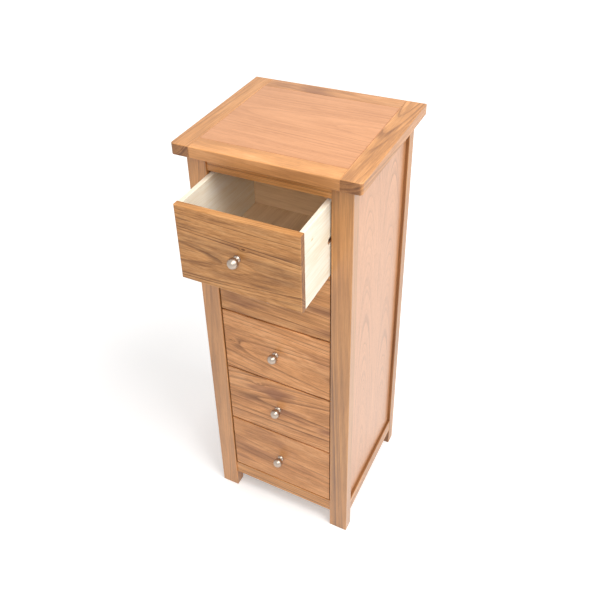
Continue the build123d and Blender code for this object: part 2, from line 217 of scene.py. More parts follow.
def wood_figure():
    """The figure of solid wood: rings round a pith, fibres, pores, streaks, heartwood and changes of tone.

    It takes board coordinates in metres, with the grain along X and the pith at Y = Z = 0, so a flat face
    shows long lines or arches and an end face shows arcs, as a sawn board does.
    """
    tree = bpy.data.node_groups.get("wood_figure")
    if tree:
        return tree
    tree = bpy.data.node_groups.new("wood_figure", "ShaderNodeTree")
    for name, kind, default in FIGURE_INPUTS:
        socket = tree.interface.new_socket(name, in_out="INPUT", socket_type=kind)
        if default is not None:
            socket.default_value = default
    for name in FIGURE_OUTPUTS:
        tree.interface.new_socket(name, in_out="OUTPUT", socket_type="NodeSocketFloat")
    given = add(tree, "NodeGroupInput").outputs
    seed = given["Seed"]

    # The pith leans through the board, and slow noise makes the grain wander
    along = add(tree, "ShaderNodeSeparateXYZ", {0: given["Vector"]}).outputs["X"]
    leaning = add(tree, "ShaderNodeVectorMath", {0: given["Slope"], 1: along, 2: given["Vector"]},
                  operation="MULTIPLY_ADD")
    slow = add(tree, "ShaderNodeVectorMath", {0: leaning, 1: grain_scale(WANDER_SIZE)}, operation="DIVIDE")
    wander = add(tree, "ShaderNodeTexNoise",
                 {"Vector": slow, "W": seed, "Scale": 1.0, "Detail": 2.0, "Roughness": 0.4},
                 noise_dimensions="4D").outputs["Color"]
    centred = add(tree, "ShaderNodeVectorMath", {0: wander, 1: (0.5, 0.5, 0.5)}, operation="SUBTRACT")
    sway = add(tree, "ShaderNodeCombineXYZ", {"Y": given["Waviness"], "Z": given["Waviness"]})
    grown = add(tree, "ShaderNodeVectorMath", {0: centred, 1: sway, 2: leaning}, operation="MULTIPLY_ADD")

    # Growth rings of uneven width, each with a strength of its own, that fade in and out along the grain
    across = add(tree, "ShaderNodeVectorMath", {0: grown, 1: (0.0, 1.0, 1.0)}, operation="MULTIPLY")
    radius = add(tree, "ShaderNodeVectorMath", {0: across}, operation="LENGTH").outputs["Value"]
    swollen = add(tree, "ShaderNodeMath", {0: radius, 1: given["Swell"]}, operation="ADD")
    even = add(tree, "ShaderNodeMath", {0: swollen, 1: given["Ring Width"]}, operation="DIVIDE")
    weather = add(tree, "ShaderNodeMath", {0: even, 1: 0.7, 2: seed}, operation="MULTIPLY_ADD")
    drift = add(tree, "ShaderNodeTexNoise", {"W": weather, "Scale": 1.0, "Detail": 2.0},
                noise_dimensions="1D").outputs["Fac"]
    count = add(tree, "ShaderNodeMath", {0: drift, 1: 2.4, 2: even}, operation="MULTIPLY_ADD")
    year = add(tree, "ShaderNodeMath", {0: count}, operation="FLOOR")
    season = add(tree, "ShaderNodeMath", {0: count}, operation="FRACT")
    spring = add(tree, "ShaderNodeValToRGB", {"Fac": season}, stops=SPRING_WOOD)
    dated = add(tree, "ShaderNodeMath", {0: year, 1: seed}, operation="ADD")
    vigour = add(tree, "ShaderNodeTexWhiteNoise", {"W": dated}, noise_dimensions="1D").outputs["Value"]
    strength = add(tree, "ShaderNodeMapRange", {"Value": vigour, "To Min": 0.25, "To Max": 1.0})
    bold = add(tree, "ShaderNodeMath", {0: spring, 1: strength}, operation="MULTIPLY")
    fade_place = add(tree, "ShaderNodeVectorMath", {0: grown, 1: grain_scale(FADE_SIZE)}, operation="DIVIDE")
    fade_noise = add(tree, "ShaderNodeTexNoise",
                     {"Vector": fade_place, "Scale": 1.0, "Detail": 1.0}).outputs["Fac"]
    fade = add(tree, "ShaderNodeMapRange",
               {"Value": fade_noise, "From Min": 0.3, "From Max": 0.66, "To Min": 0.4, "To Max": 1.0})
    ring = add(tree, "ShaderNodeMath", {0: bold, 1: fade}, operation="MULTIPLY")

    # Fibres: long fine lines, paler and darker
    fibre_size = add(tree, "ShaderNodeCombineXYZ",
                     {"X": FIBRE_LENGTH * MM, "Y": given["Fibre Width"], "Z": given["Fibre Width"]})
    fibre_place = add(tree, "ShaderNodeVectorMath", {0: grown, 1: fibre_size}, operation="DIVIDE")
    fibre_noise = add(tree, "ShaderNodeTexNoise",
                      {"Vector": fibre_place, "Scale": 1.0, "Detail": 2.0, "Roughness": 0.6}).outputs["Fac"]
    fibre = add(tree, "ShaderNodeMapRange", {"Value": fibre_noise, "From Min": 0.28, "From Max": 0.72})

    # Open pores: short dashes along the grain, most of them in the spring wood
    pore_place = add(tree, "ShaderNodeVectorMath", {0: leaning, 1: grain_scale(PORE_SIZE)},
                     operation="DIVIDE")
    pore_noise = add(tree, "ShaderNodeTexNoise",
                     {"Vector": pore_place, "Scale": 1.0, "Detail": 1.0}).outputs["Fac"]
    dash = add(tree, "ShaderNodeMapRange", {"Value": pore_noise, "From Min": 0.52, "From Max": 0.68})
    crowd = add(tree, "ShaderNodeMapRange", {"Value": ring, "To Min": 0.35, "To Max": 1.0})
    pore = add(tree, "ShaderNodeMath", {0: dash, 1: crowd}, operation="MULTIPLY")

    # Dark streaks, clouds of heartwood, and slow changes of tone
    streak_size = add(tree, "ShaderNodeCombineXYZ",
                      {"X": STREAK_LENGTH * MM, "Y": given["Streak Width"], "Z": given["Streak Width"]})
    streak_place = add(tree, "ShaderNodeVectorMath", {0: grown, 1: streak_size}, operation="DIVIDE")
    streak_noise = add(tree, "ShaderNodeTexNoise",
                       {"Vector": streak_place, "W": seed, "Scale": 1.0, "Detail": 3.0, "Roughness": 0.6},
                       noise_dimensions="4D").outputs["Fac"]
    streak = add(tree, "ShaderNodeMapRange", {"Value": streak_noise, "From Min": 0.52, "From Max": 0.74})
    heart_place = add(tree, "ShaderNodeVectorMath", {0: grown, 1: grain_scale(HEART_SIZE)},
                      operation="DIVIDE")
    heart_noise = add(tree, "ShaderNodeTexNoise",
                      {"Vector": heart_place, "W": seed, "Scale": 1.0, "Detail": 2.0},
                      noise_dimensions="4D").outputs["Fac"]
    heart = add(tree, "ShaderNodeMapRange", {"Value": heart_noise, "From Min": 0.54, "From Max": 0.7})
    cloud_place = add(tree, "ShaderNodeVectorMath", {0: grown, 1: grain_scale(CLOUD_SIZE)},
                      operation="DIVIDE")
    cloud = add(tree, "ShaderNodeTexNoise",
                {"Vector": cloud_place, "Scale": 1.0, "Detail": 4.0, "Roughness": 0.6}).outputs["Fac"]

    # Edges of the board, where lacquer wears thin and a highlight is painted: the second smallest distance to
    # its faces
    inward = add(tree, "ShaderNodeVectorMath", {0: given["Edges"]}, operation="ABSOLUTE")
    depth = add(tree, "ShaderNodeVectorMath", {0: given["Half Size"], 1: inward}, operation="SUBTRACT")
    sides = add(tree, "ShaderNodeSeparateXYZ", {0: depth}).outputs
    low = add(tree, "ShaderNodeMath", {0: sides[0], 1: sides[1]}, operation="MINIMUM")
    high = add(tree, "ShaderNodeMath", {0: sides[0], 1: sides[1]}, operation="MAXIMUM")
    rest = add(tree, "ShaderNodeMath", {0: high, 1: sides[2]}, operation="MINIMUM")
    middle = add(tree, "ShaderNodeMath", {0: low, 1: rest}, operation="MAXIMUM")
    edge = add(tree, "ShaderNodeMapRange",
               {"Value": middle, "From Min": EDGE_WEAR[0] * MM, "From Max": EDGE_WEAR[1] * MM, "To Min": 1.0,
                "To Max": 0.0})
    add(tree, "NodeGroupOutput",
        {"Ring": ring, "Fibre": fibre, "Pore": pore, "Streak": streak, "Heart": heart, "Cloud": cloud,
         "Edge": edge})
    return tree


# Turns that bring a board's grain onto X
GRAIN_TURNS = {"X": (0.0, 0.0, 0.0), "Y": (0.0, 0.0, -math.pi / 2), "Z": (0.0, math.pi / 2, 0.0)}
# How far along the log each next sheet of veneer is cut, in mm
LEAF_SHIFT = 170
# A knot is longer along the grain, its rings swell to a few times its size, and its eye fades outwards
KNOT_SHAPE = (0.45, 0.0, 1.0)
KNOT_REACH = 3.0
KNOT_SWELL = 2.2
KNOT_EYE = (0.2, 0.8)
# The depth in mm at which a groove starts to take its painted brown shade
GROOVE_LIP = 0.5
# The share of stain that end grain takes, and how much of it goes to the wood between and in the rings
END_GRAIN = 0.68
RING_SOAK = (0.82, 1.3)
# A colour mix has its sockets behind those for numbers and vectors
MIX_SHARE, MIX_A, MIX_B, MIX_RESULT = 0, 6, 7, 2


def laid_leaves(tree, place, width):
    """Lays sheets of veneer of one width side by side, each cut a little further along the same log."""
    counted = add(tree, "ShaderNodeVectorMath",
                  {0: place, 1: Vector((1.0, 1.0, 1.0)) / width, 2: (0.5, 0.5, 0.5)},
                  operation="MULTIPLY_ADD")
    whole = add(tree, "ShaderNodeVectorMath", {0: counted}, operation="FLOOR")
    row = add(tree, "ShaderNodeSeparateXYZ", {0: whole}).outputs["Y"]
    return add(tree, "ShaderNodeVectorMath", {0: row, 1: (LEAF_SHIFT * MM, -width, 0.0), 2: place},
               operation="MULTIPLY_ADD")


def knot_marks(tree, local, x, z, size, darkness):
    """The swelling of the rings round a knot, and the knot's dark eye. Places and size are in mm."""
    away = add(tree, "ShaderNodeVectorMath", {0: local, 1: Vector((x, 0, z)) * MM}, operation="SUBTRACT")
    shaped = add(tree, "ShaderNodeVectorMath", {0: away, 1: Vector(KNOT_SHAPE) / (size * MM)},
                 operation="MULTIPLY")
    far = add(tree, "ShaderNodeVectorMath", {0: shaped}, operation="LENGTH").outputs["Value"]
    near = add(tree, "ShaderNodeMapRange",
               {"Value": far, "From Max": KNOT_REACH, "To Min": 1.0, "To Max": 0.0},
               interpolation_type="SMOOTHERSTEP")
    swelling = add(tree, "ShaderNodeMath", {0: near, 1: KNOT_SWELL * size * MM}, operation="MULTIPLY")
    eye = add(tree, "ShaderNodeMapRange",
              {"Value": far, "From Min": KNOT_EYE[0], "From Max": KNOT_EYE[1], "To Min": darkness,
               "To Max": 0.0})
    return swelling, eye


def groove_mask(tree, local, half_height, half_thickness):
    """1 inside a groove along the middle of a board's face, and 0 elsewhere."""
    away = add(tree, "ShaderNodeVectorMath", {0: local}, operation="ABSOLUTE")
    places = add(tree, "ShaderNodeSeparateXYZ", {0: away}).outputs
    level = add(tree, "ShaderNodeMath", {0: places["Z"], 1: half_height}, operation="LESS_THAN")
    below = add(tree, "ShaderNodeMath", {0: places["Y"], 1: half_thickness - GROOVE_LIP * MM},
                operation="LESS_THAN")
    return add(tree, "ShaderNodeMath", {0: level, 1: below}, operation="MULTIPLY")


def faced(tree, normal, direction, amount):
    """An amount of darkening on the faces that look along a direction, used for the end grain's deeper colour
    and for painted shade.
    """
    toward = add(tree, "ShaderNodeVectorMath", {0: normal, 1: direction},
                 operation="DOT_PRODUCT").outputs["Value"]
    return add(tree, "ShaderNodeMapRange",
               {"Value": toward, "From Min": 0.6, "From Max": 0.95, "To Max": amount})


def board(node, name, settings, grain, pith, slope=(0.0, 0.0, 0.0), seed=0.0, leaf=None, knot=None, ring=0.55,
          ring_scale=1.0, fibre=0.3, fibre_width=3.0, pore=0.25, streak=0.4, streak_width=22.0, heart=0.0,
          cloud=1.0, edge=0.15, seam=0.0, waviness=6.0, tone=0.0, tint=(1.0, 1.0, 1.0), inside=None,
          groove=None, roughness=(0.38, 0.52), gloss=(0.35, 0.25), shown_size=None):
    """Gives a solid its own wood material, cut from a log with its pith in mm from the solid's middle.

    The slope leans the pith along the board. The amounts of ring, fibre, pore, streak, heart, edge and seam
    are shares of 1, and cloud is the depth of the slow changes of tone; edge lightens the edges for worn
    lacquer and a painted highlight. Widths, waviness, leaf and groove are in mm: leaf is the width of sheets
    of veneer laid side by side, and groove is half the height of the painted shade in a runner's groove. A
    knot is its place along and up the board, its size in mm and its darkness. Inside is the direction of
    faces that get painted shade, and how much. Tone lightens the wood and tint colours it. Gloss is the
    shares of the wood's own shine and of the lacquer, and shown_size is the part of the solid that its
    neighbours leave open.
    """
    low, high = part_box(node)
    turn = GRAIN_TURNS[grain]
    turning = Euler(turn).to_matrix()
    middle = turning @ ((low + high) / 2)
    half = [abs(size) for size in turning @ ((shown_size or high - low) / 2)]
    material = bpy.data.materials.new(name)
    material.use_nodes = True
    tree = material.node_tree
    tree.nodes.clear()
    given = add(tree, "ShaderNodeTexCoord").outputs
    local = add(tree, "ShaderNodeMapping", {"Vector": given["Object"], "Location": -middle, "Rotation": turn})
    cut = add(tree, "ShaderNodeVectorMath", {0: local, 1: Vector(pith) * MM}, operation="SUBTRACT")
    if leaf:
        cut = laid_leaves(tree, cut, leaf * MM)
    grown = {"Vector": cut, "Edges": local, "Slope": slope, "Half Size": half, "Seed": seed,
             "Ring Width": settings.ring_width * ring_scale, "Waviness": waviness * MM,
             "Fibre Width": fibre_width * MM, "Streak Width": streak_width * MM}
    if knot:
        grown["Swell"], eye = knot_marks(tree, local, *knot)
    shown = add(tree, "ShaderNodeGroup", grown, node_tree=wood_figure()).outputs

    # Colour: clouds of tone with fibres, then heartwood, rings, streaks, pores, edges lightened for worn
    # lacquer and a painted highlight, dark seams, and then a knot and the painted shade of a groove
    light, mid, dark, shade = (
        Vector(a * b for a, b in zip(hue, tint)) * (1.0 + tone)
        for hue in (settings.light, settings.mid, settings.dark, settings.shade))
    calm = add(tree, "ShaderNodeMapRange",
               {"Value": shown["Cloud"], "To Min": 0.5 - cloud / 2, "To Max": 0.5 + cloud / 2})
    cloudy = add(tree, "ShaderNodeMath", {0: shown["Fibre"], 1: fibre, 2: calm}, operation="MULTIPLY_ADD")
    deep = mid.lerp(dark, 0.35)
    wood = add(tree, "ShaderNodeValToRGB", {"Fac": cloudy},
               stops=((0.45, tuple(deep)), (0.7, tuple(mid)), (0.95, tuple(light))))
    stains_and_painted_light = []
    for mask, amount, layer_colour in (("Heart", heart, shade), ("Ring", ring, dark), ("Streak", streak, dark),
                                ("Pore", pore, dark), ("Edge", edge, light), ("Edge", seam, dark)):
        share = add(tree, "ShaderNodeMath", {0: shown[mask], 1: amount}, operation="MULTIPLY")
        stains_and_painted_light.append((share, layer_colour))
    if knot:
        stains_and_painted_light.append((eye, dark))
    # Painted shade in a runner's groove
    if groove:
        stains_and_painted_light.append((groove_mask(tree, local, groove * MM, half[1]), settings.groove_shade))

    # End grain soaks up more of the finish, most of it in the rings, and grows darker; the faces of a
    # recess and some faces turned from the light get painted shade
    either_way = add(tree, "ShaderNodeVectorMath", {0: given["Normal"]}, operation="ABSOLUTE")
    ends = faced(tree, either_way, Vector((grain == "X", grain == "Y", grain == "Z")), END_GRAIN)
    soaked = add(tree, "ShaderNodeMapRange",
                 {"Value": shown["Ring"], "From Max": 0.6, "To Min": RING_SOAK[0], "To Max": RING_SOAK[1]})
    stains_and_painted_light.append((add(tree, "ShaderNodeMath", {0: ends, 1: soaked}, operation="MULTIPLY"), dark))
    # Painted shade on the faces that look one way: recess sides and ledges, rail undersides, faces turned
    # from the light
    if inside:
        stains_and_painted_light.append((faced(tree, given["Normal"], Vector(inside[:3]), inside[3]), dark))
    for share, layer_colour in stains_and_painted_light:
        wood = add(tree, "ShaderNodeMix", {MIX_SHARE: share, MIX_A: wood, MIX_B: layer_colour},
                   data_type="RGBA").outputs[MIX_RESULT]

    # Pores and spring wood lie a little lower than the rest, and are duller
    dull = add(tree, "ShaderNodeMapRange",
               {"Value": shown["Pore"], "To Min": roughness[0], "To Max": roughness[1]})
    sunk = add(tree, "ShaderNodeMath", {0: shown["Ring"], 1: 0.35, 2: shown["Pore"]},
               operation="MULTIPLY_ADD")
    relief = add(tree, "ShaderNodeBump", {"Height": sunk, "Strength": 0.35, "Distance": 0.25 * MM},
                 invert=True)
    shader = add(tree, "ShaderNodeBsdfPrincipled",
                 {"Base Color": wood, "Roughness": dull, "Normal": relief, "IOR": 1.5,
                  "Specular IOR Level": gloss[0], "Coat Weight": gloss[1], "Coat Roughness": 0.3})
    add(tree, "ShaderNodeOutputMaterial", {"Surface": shader})
    dress(node, material)


def dress(node, material):
    """Puts a material on all of a solid."""
    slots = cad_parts[node].data.materials
    slots.clear()
    slots.append(material)


class CHEST_OT_posts(Operator):
    """Finish the four oak posts, with straight grain that runs up"""

    bl_idname = "chest.posts"
    bl_label = "Posts"

    def execute(self, context):
        oak = context.scene.chest_oak
        straight = dict(slope=(0, 0.015, 0.01), ring=0.6, ring_scale=0.28, streak=0.15, waviness=4.0,
                        fibre_width=1.8, cloud=0.5, tint=(1.0, 0.98, 0.88))
        # The back posts: a darker tone, and painted shade on their front-facing faces, the sides of the
        # panels' recesses
        back = dict(tone=-0.22, gloss=(0.4, 0.25), inside=(0, -1, 0, 0.55))
        logs = {
            "left_front": dict(pith=(40, 95, 30), seed=1.3, tone=-0.08, gloss=(0.5, 0.5)),
            "right_front": dict(pith=(-300, 110, -42), seed=4.1, ring=0.85, tone=-0.19, tint=(1.0, 0.97, 0.8),
                                gloss=(0.5, 0.6)),
            "left_back": dict(pith=(120, -85, 36), seed=7.7, **back),
            "right_back": dict(pith=(500, 100, 28), seed=9.2, **back),
        }
        for corner, log in logs.items():
            board(f"{corner}_post", f"lacquered_oak_{corner}_post", oak, "Z", **{**straight, **log})
        return {"FINISHED"}


class CHEST_OT_rails(Operator):
    """Finish the oak rails at the front, the sides and the back"""

    bl_idname = "chest.rails"
    bl_label = "Rails"

    def execute(self, context):
        oak = context.scene.chest_oak
        grains = {"front": "X", "back": "X", "left": "Y", "right": "Y"}
        for number, end in enumerate(("bottom", "top")):
            cut = 310 * number + 70
            plain = dict(pith=(cut, 70 + 9 * number, 30 - 60 * number), slope=(0, 0.03, 0.02), ring=0.55,
                         ring_scale=0.35)
            lined = dict(pith=(cut, 12, 160), slope=(0, 0, 0.012), ring=1.0, ring_scale=0.24, fibre=0.5,
                         waviness=3.0, tint=(1.0, 0.98, 0.86))
            # Side rails: a darker tone, and painted shade on the bottom rails' ledges and the top rails'
            # undersides
            darker_and_shaded = dict(tone=-0.12, inside=(0, 0, 1 - 2 * number, 0.6), **plain)
            logs = {"front": lined, "back": plain, "left": darker_and_shaded, "right": darker_and_shaded}
            for place, (side, log) in enumerate(logs.items()):
                board(f"{side}_{end}_rail", f"lacquered_oak_{side}_{end}_rail", oak, grains[side], streak=0.4,
                      seed=3.3 * place + number, **log)
        return {"FINISHED"}


class CHEST_OT_panels(Operator):
    """Finish the veneered side panels and the plywood back"""

    bl_idname = "chest.panels"
    bl_label = "Panels"

    def execute(self, context):
        veneer = context.scene.chest_veneer
        for side, pith, seed in (("left", (30, 74, -72), 2.9), ("right", (0, 78, -72), 7.2)):
            board(f"{side}_side_panel", f"lacquered_oak_veneer_{side}_side", veneer, "Z", pith, seed=seed,
                  slope=(0, 0.0, 0.1), leaf=150.0, ring=0.75, ring_scale=0.36, fibre_width=2.2, pore=0.6,
                  streak=0.1, cloud=0.5, edge=0.0, waviness=8.0, tone=-0.08, tint=(1.0, 0.99, 0.9),
                  gloss=(0.5, 0.6))
        board("back_panel", "peeled_plywood_back", context.scene.chest_ply, "Z", (0, 30, 200),
              slope=(0, 0.01, 0.03), ring=0.25, pore=0.15, streak=0.15, edge=0.0, waviness=40.0,
              roughness=(0.6, 0.7), gloss=(0.3, 0.0))
        return {"FINISHED"}


class CHEST_OT_top(Operator):
    """Finish the oak frame and the veneered middle of the top"""

    bl_idname = "chest.top"
    bl_label = "Top"

    def execute(self, context):
        oak = context.scene.chest_oak
        logs = {
            "left_end": ("Y", dict(pith=(80, 60, 70), slope=(0, 0.03, 0.02), seed=2.2, ring=0.4,
                                   ring_scale=0.4, streak=0.3, tone=-0.06)),
            # The right end's outer side and the front strip's front face get a little painted shade
            "right_end": ("Y", dict(pith=(-60, 18, 55), slope=(0, 0.04, 0.06), seed=5.1, ring=0.8,
                                    ring_scale=0.6, heart=0.4, tone=-0.05, inside=(1, 0, 0, 0.06))),
            "front_strip": ("X", dict(pith=(150, 40, 90), slope=(0, 0.03, 0.05), seed=6.4, ring=0.15,
                                      fibre=0.25, streak=0.12, tone=0.05, inside=(0, -1, 0, 0.12))),
            "back_strip": ("X", dict(pith=(-90, 16, 44), slope=(0, 0.06, 0.05), seed=8.3, ring=0.5,
                                     ring_scale=0.7, streak=0.35, heart=0.75, tone=-0.09,
                                     tint=(1.0, 1.0, 1.08))),
        }
        for place, (grain, log) in logs.items():
            board(f"top_{place}", f"lacquered_oak_top_{place}", oak, grain, **log)

        # The panel's tongues are hidden in the boards round it, and a thin dark seam runs round what shows
        left, right, front, back = (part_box(f"top_{place}") for place in logs)
        low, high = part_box("top_panel")
        shown = Vector((right[0].x - left[1].x, back[0].y - front[1].y, high.z - low.z))
        board("top_panel", "lacquered_oak_veneer_top", context.scene.chest_veneer, "X", (60, 15, 70),
              slope=(0, 0.03, 0.05), seed=1.7, ring=0.45, ring_scale=0.7, fibre=0.25, pore=0.3, streak=0.1,
              cloud=0.45, edge=0.0, seam=0.4, shown_size=shown, waviness=16.0, tone=-0.05, gloss=(0.35, 0.3))
        return {"FINISHED"}


class CHEST_OT_drawer_fronts(Operator):
    """Finish the oak drawer fronts, each one board with lively grain"""

    bl_idname = "chest.drawer_fronts"
    bl_label = "Drawer Fronts"

    def execute(self, context):
        oak = context.scene.chest_oak
        lively = dict(ring_scale=0.6, fibre=0.45, fibre_width=2.0, pore=0.35, streak_width=12.0,
                      waviness=20.0, gloss=(0.3, 0.05))
        logs = {
            1: dict(pith=(-139, 36, -21), slope=(0, -0.06, 0), seed=14.9, knot=(16, 26, 2.5, 0.6), ring=1.0,
                    fibre=0.55, pore=0.5, streak=0.8, heart=0.4, waviness=12.0, tone=-0.19,
                    tint=(1.0, 0.98, 0.88)),
            2: dict(pith=(120, 44, 40), slope=(0, 0.04, 0.05), seed=69.9, ring=0.85, heart=0.8, tone=-0.06),
            3: dict(pith=(-60, 50, -10), slope=(0, 0.06, 0.08), seed=39.9, knot=(-130, 0, 5, 0.6), ring=1.0,
                    streak=0.5, heart=0.4, tone=0.07, tint=(1.0, 0.985, 1.04)),
            4: dict(pith=(170, 40, 30), slope=(0, 0.05, -0.06), seed=49.9, knot=(-57, 70, 4, 0.6), ring=1.0,
                    ring_scale=0.7, streak=0.45, heart=0.85, tone=0.02, tint=(1.0, 0.985, 1.05)),
            5: dict(pith=(-20, 52, 60), slope=(0, 0.06, 0.04), seed=5.8, ring=0.6, ring_scale=1.0, streak=0.3,
                    streak_width=14.0, heart=0.5, waviness=26.0, tint=(1.0, 0.985, 1.05)),
        }
        for number, log in logs.items():
            board(f"drawer_{number}_front", f"lacquered_oak_drawer_{number}_front", oak, "X",
                  **{**lively, **log})
        return {"FINISHED"}


# Bare wood of the drawers and of what carries them
BARE = dict(pore=0.08, edge=0.0, roughness=(0.55, 0.65), gloss=(0.3, 0.0))
# Half the height of the painted brown shade in a runner's groove, in mm
GROOVE_HALF_HEIGHT = 8.3
# The pin knot on the open drawer's right side
PIN_KNOT = (-119, 58, 4.0, 1.0)


class CHEST_OT_drawer_boxes(Operator):
    """Finish the pine sides and backs and the plywood bottoms of the drawers"""

    bl_idname = "chest.drawer_boxes"
    bl_label = "Drawer Boxes"

    def execute(self, context):
        pine = context.scene.chest_pine
        ply = context.scene.chest_ply
        for number in DRAWERS:
            for side, turn in (("left", 1), ("right", -1)):
                knot = PIN_KNOT if (number, side) == (1, "right") else None
                board(f"drawer_{number}_{side}_side", f"planed_pine_drawer_{number}_{side}", pine, "Y",
                      (90 * number, 40 * turn, 25 * number - 60), slope=(0, 0.03, 0.05), seed=number,
                      knot=knot, ring=0.2, streak=0.06, waviness=9.0, groove=GROOVE_HALF_HEIGHT, **BARE)
            board(f"drawer_{number}_back", f"planed_pine_drawer_{number}_back", ply, "X",
                  (50 * number, 35, 20), slope=(0, 0.03, 0.04), seed=number, ring=0.3, streak=0.1,
                  waviness=9.0, **BARE)
            board(f"drawer_{number}_bottom", f"peeled_plywood_drawer_{number}_bottom", ply, "Y",
                  (30 * number, 60, 90), slope=(0, 0.02, 0.03), seed=number, ring=0.2, streak=0.1,
                  waviness=30.0, **BARE)
        return {"FINISHED"}


class CHEST_OT_runners(Operator):
    """Finish the pine runners and the uprights that carry them"""

    bl_idname = "chest.runners"
    bl_label = "Runners"

    def execute(self, context):
        pine = context.scene.chest_pine
        for node, grain in (("runners", "Y"), ("left_upright", "Z"), ("right_upright", "Z")):
            board(node, f"planed_pine_{node}", pine, grain, (0, 40, 30), slope=(0, 0.02, 0.03), ring=0.3,
                  streak=0.08, **BARE)
        return {"FINISHED"}


def metal(name, colour, roughness):
    """A plated metal whose shine is broken up by fine grit, drawn 1 mm across so that it shows."""
    material = bpy.data.materials.new(name)
    material.use_nodes = True
    tree = material.node_tree
    tree.nodes.clear()
    place = add(tree, "ShaderNodeTexCoord").outputs["Object"]
    grit = add(tree, "ShaderNodeTexNoise", {"Vector": place, "Scale": 1 / MM, "Detail": 2.0}).outputs["Fac"]
    worn = add(tree, "ShaderNodeMapRange",
               {"Value": grit, "To Min": roughness - 0.05, "To Max": roughness + 0.08})
    shader = add(tree, "ShaderNodeBsdfPrincipled", {"Base Color": colour, "Metallic": 1.0, "Roughness": worn})
    add(tree, "ShaderNodeOutputMaterial", {"Surface": shader})
    return material


class CHEST_OT_knobs(Operator):
    """Finish the satin nickel knobs"""

    bl_idname = "chest.knobs"
    bl_label = "Knobs"

    def execute(self, context):
        # Nickel plate, brushed and buffed: a warm grey with a soft highlight; its pinkish warmth is partly
        # painted reflection of the wood round it
        nickel = metal("satin_nickel", context.scene.chest_metal.nickel, 0.34)
        for number in DRAWERS:
            dress(f"drawer_{number}_knob", nickel)
        return {"FINISHED"}


SCREW_INPUTS = (
    ("Points", "NodeSocketGeometry"),
    ("Head Radius", "NodeSocketFloat"),
    ("Head Height", "NodeSocketFloat"),
    ("Base Radius", "NodeSocketFloat"),
    ("Crown Radius", "NodeSocketFloat"),
    ("Rim Height", "NodeSocketFloat"),
    ("Shank Radius", "NodeSocketFloat"),
    ("Length", "NodeSocketFloat"),
    ("Recess Length", "NodeSocketFloat"),
    ("Recess Width", "NodeSocketFloat"),
    ("Seed", "NodeSocketInt"),
    ("Finish", "NodeSocketMaterial"),
)
# The corners of a screw's round shank and head
SHANK_CORNERS = 24
HEAD_CORNERS = 32


def screw_tree():
    """Sets a cross-head screw on each point: its head looks along the point's direction, its shank runs back.

    A sunk head widens from its base to its rim, a round one does not, and both then narrow to the crown.
    """
    tree = bpy.data.node_groups.get("cross_head_screws")
    if tree:
        return tree
    tree = bpy.data.node_groups.new("cross_head_screws", "GeometryNodeTree")
    for name, kind in SCREW_INPUTS:
        tree.interface.new_socket(name, in_out="INPUT", socket_type=kind)
    tree.interface.new_socket("Screws", in_out="OUTPUT", socket_type="NodeSocketGeometry")
    given = add(tree, "NodeGroupInput").outputs

    # The shank, the lower part of the head and its bevelled crown, joined into one solid
    back = add(tree, "ShaderNodeMath", {0: given["Length"], 1: -0.5}, operation="MULTIPLY")
    rise = add(tree, "ShaderNodeMath", {0: given["Head Height"], 1: given["Rim Height"]},
               operation="SUBTRACT")
    rod = add(tree, "GeometryNodeMeshCylinder",
              {"Vertices": SHANK_CORNERS, "Radius": given["Shank Radius"], "Depth": given["Length"]})
    lower = add(tree, "GeometryNodeMeshCone",
                {"Vertices": HEAD_CORNERS, "Radius Top": given["Head Radius"],
                 "Radius Bottom": given["Base Radius"], "Depth": given["Rim Height"]})
    crown = add(tree, "GeometryNodeMeshCone",
                {"Vertices": HEAD_CORNERS, "Radius Top": given["Crown Radius"],
                 "Radius Bottom": given["Head Radius"], "Depth": rise})
    joined = add(tree, "GeometryNodeMeshBoolean", operation="UNION", solver="EXACT")
    for form, height in ((rod, back), (lower, 0.0), (crown, given["Rim Height"])):
        place = add(tree, "ShaderNodeCombineXYZ", {"Z": height})
        moved = add(tree, "GeometryNodeTransform", {"Geometry": form, "Translation": place})
        tree.links.new(moved.outputs[0], joined.inputs["Mesh 2"])

    # The cross for the driver, cut half way down the head
    long, thin = given["Recess Length"], given["Recess Width"]
    top = add(tree, "ShaderNodeCombineXYZ", {"Z": given["Head Height"]})
    cross = add(tree, "GeometryNodeMeshBoolean", operation="UNION", solver="EXACT")
    for x, y in ((long, thin), (thin, long)):
        size = add(tree, "ShaderNodeCombineXYZ", {"X": x, "Y": y, "Z": given["Head Height"]})
        bar = add(tree, "GeometryNodeMeshCube", {"Size": size})
        raised = add(tree, "GeometryNodeTransform", {"Geometry": bar, "Translation": top})
        tree.links.new(raised.outputs[0], cross.inputs["Mesh 2"])
    cut = add(tree, "GeometryNodeMeshBoolean", {"Mesh 1": joined, "Mesh 2": cross}, operation="DIFFERENCE",
              solver="EXACT")

    # One on each point, each driven home to a turn of its own
    way = add(tree, "GeometryNodeInputNamedAttribute", {"Name": "direction"}, data_type="FLOAT_VECTOR")
    upright = add(tree, "FunctionNodeAlignRotationToVector", {"Vector": way}, axis="Z")
    chance = add(tree, "FunctionNodeRandomValue", {3: math.tau, "Seed": given["Seed"]},
                 data_type="FLOAT").outputs[1]
    spin = add(tree, "ShaderNodeCombineXYZ", {"Z": chance})
    turned = add(tree, "FunctionNodeRotateRotation", {"Rotation": upright, "Rotate By": spin},
                 rotation_space="LOCAL")
    placed = add(tree, "GeometryNodeInstanceOnPoints",
                 {"Points": given["Points"], "Instance": cut, "Rotation": turned})
    real = add(tree, "GeometryNodeRealizeInstances", {"Geometry": placed})
    plated = add(tree, "GeometryNodeSetMaterial", {"Geometry": real, "Material": given["Finish"]})
    add(tree, "NodeGroupOutput", {"Screws": plated})
    return tree


# The crown's radius and the rim's height, as shares of a head's radius and height
SUNK_HEAD = (0.92, 0.92)
ROUND_HEAD = (0.7, 0.5)
